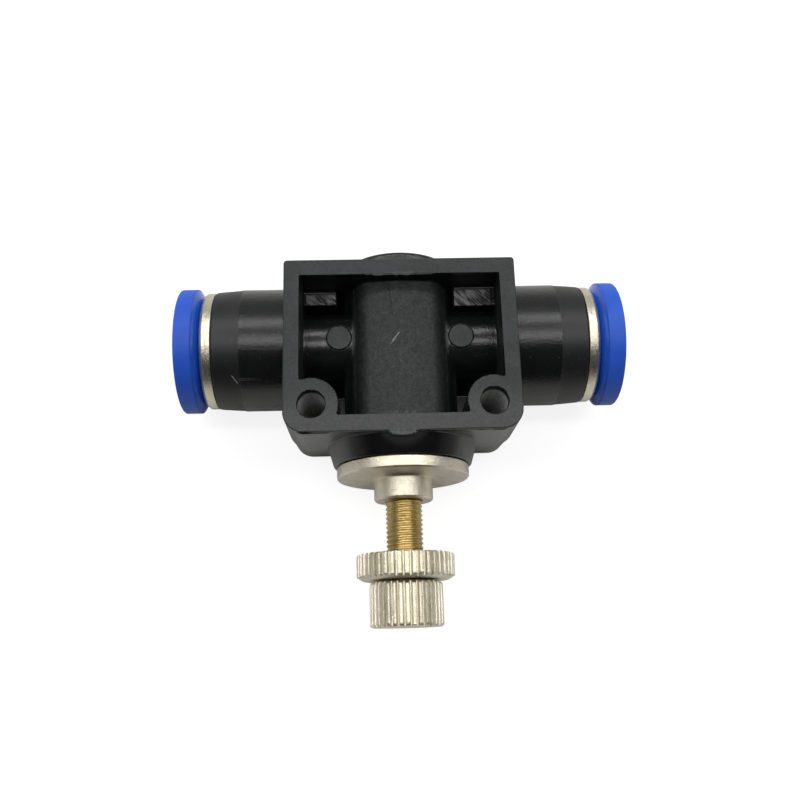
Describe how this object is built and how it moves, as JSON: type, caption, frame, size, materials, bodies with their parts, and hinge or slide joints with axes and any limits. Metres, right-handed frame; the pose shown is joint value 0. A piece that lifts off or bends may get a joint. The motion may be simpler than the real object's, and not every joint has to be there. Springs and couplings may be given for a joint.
{
  "type": "flow control valve",
  "caption": "In-line flow control valve: a moulded block with a push-in tube fitting at each end, and a threaded needle with a knurled knob and lock nut.",
  "frame": {"origin": "on the closed front face, under the point where the tube axis and the needle axis cross", "axes": "+X along the tubes towards the right-hand fitting, +Y from the knob towards the closed end of the needle bore, +Z from the closed front face towards the open rear rim"},
  "size_m": [0.0732, 0.0605, 0.024],
  "materials": {
    "body_plastic": "black moulded plastic, satin, faintly speckled",
    "release_plastic": "royal blue moulded plastic, semi-gloss",
    "nickel": "warm bright nickel plating on turned brass",
    "brass": "plain turned brass",
    "steel": "pressed stainless spring steel",
    "rubber": "black nitrile rubber",
    "seat_plastic": "natural white moulded plastic"
  },
  "bodies": {
    "valve": {"valve_body": "body_plastic", "guide_ring_left": "nickel", "guide_ring_right": "nickel", "grip_ring_left": "steel", "grip_ring_right": "steel", "claw_seat_left": "seat_plastic", "claw_seat_right": "seat_plastic", "tube_seal_left": "rubber", "tube_seal_right": "rubber", "needle_housing": "nickel", "housing_o_ring": "rubber", "seat_sleeve": "brass", "check_seal": "rubber"},
    "release_left": {"release_sleeve_left": "release_plastic"},
    "release_right": {"release_sleeve_right": "release_plastic"},
    "needle_carrier": {"needle_o_ring": "rubber"},
    "spindle": {"needle_spindle": "brass", "adjusting_knob": "nickel"},
    "lock_nut": {"lock_nut": "nickel"}
  },
  "joints": [
    {"name": "release_left_push", "type": "slide", "parent": "valve", "child": "release_left", "axis": [1, 0, 0], "range_m": [-0.0005, 0.0007], "stiffness_N_per_m": 500},
    {"name": "release_right_push", "type": "slide", "parent": "valve", "child": "release_right", "axis": [-1, 0, 0], "range_m": [-0.0005, 0.0007], "stiffness_N_per_m": 500},
    {"name": "needle_travel", "type": "slide", "parent": "valve", "child": "needle_carrier", "axis": [0, 1, 0], "range_m": [0, 0.006]},
    {"name": "needle_turn", "type": "hinge", "parent": "needle_carrier", "child": "spindle", "pos_m": [0, -0.04, 0.012], "axis": [0, 1, 0], "range_deg": [0, 2880]},
    {"name": "lock_nut_travel", "type": "slide", "parent": "spindle", "child": "lock_nut", "axis": [0, 1, 0], "range_m": [0, 0.0024]}
  ],
  "couplings": [
    {"joint": "needle_travel", "follows": "needle_turn", "m_per_rad": 0.00011937}
  ]
}
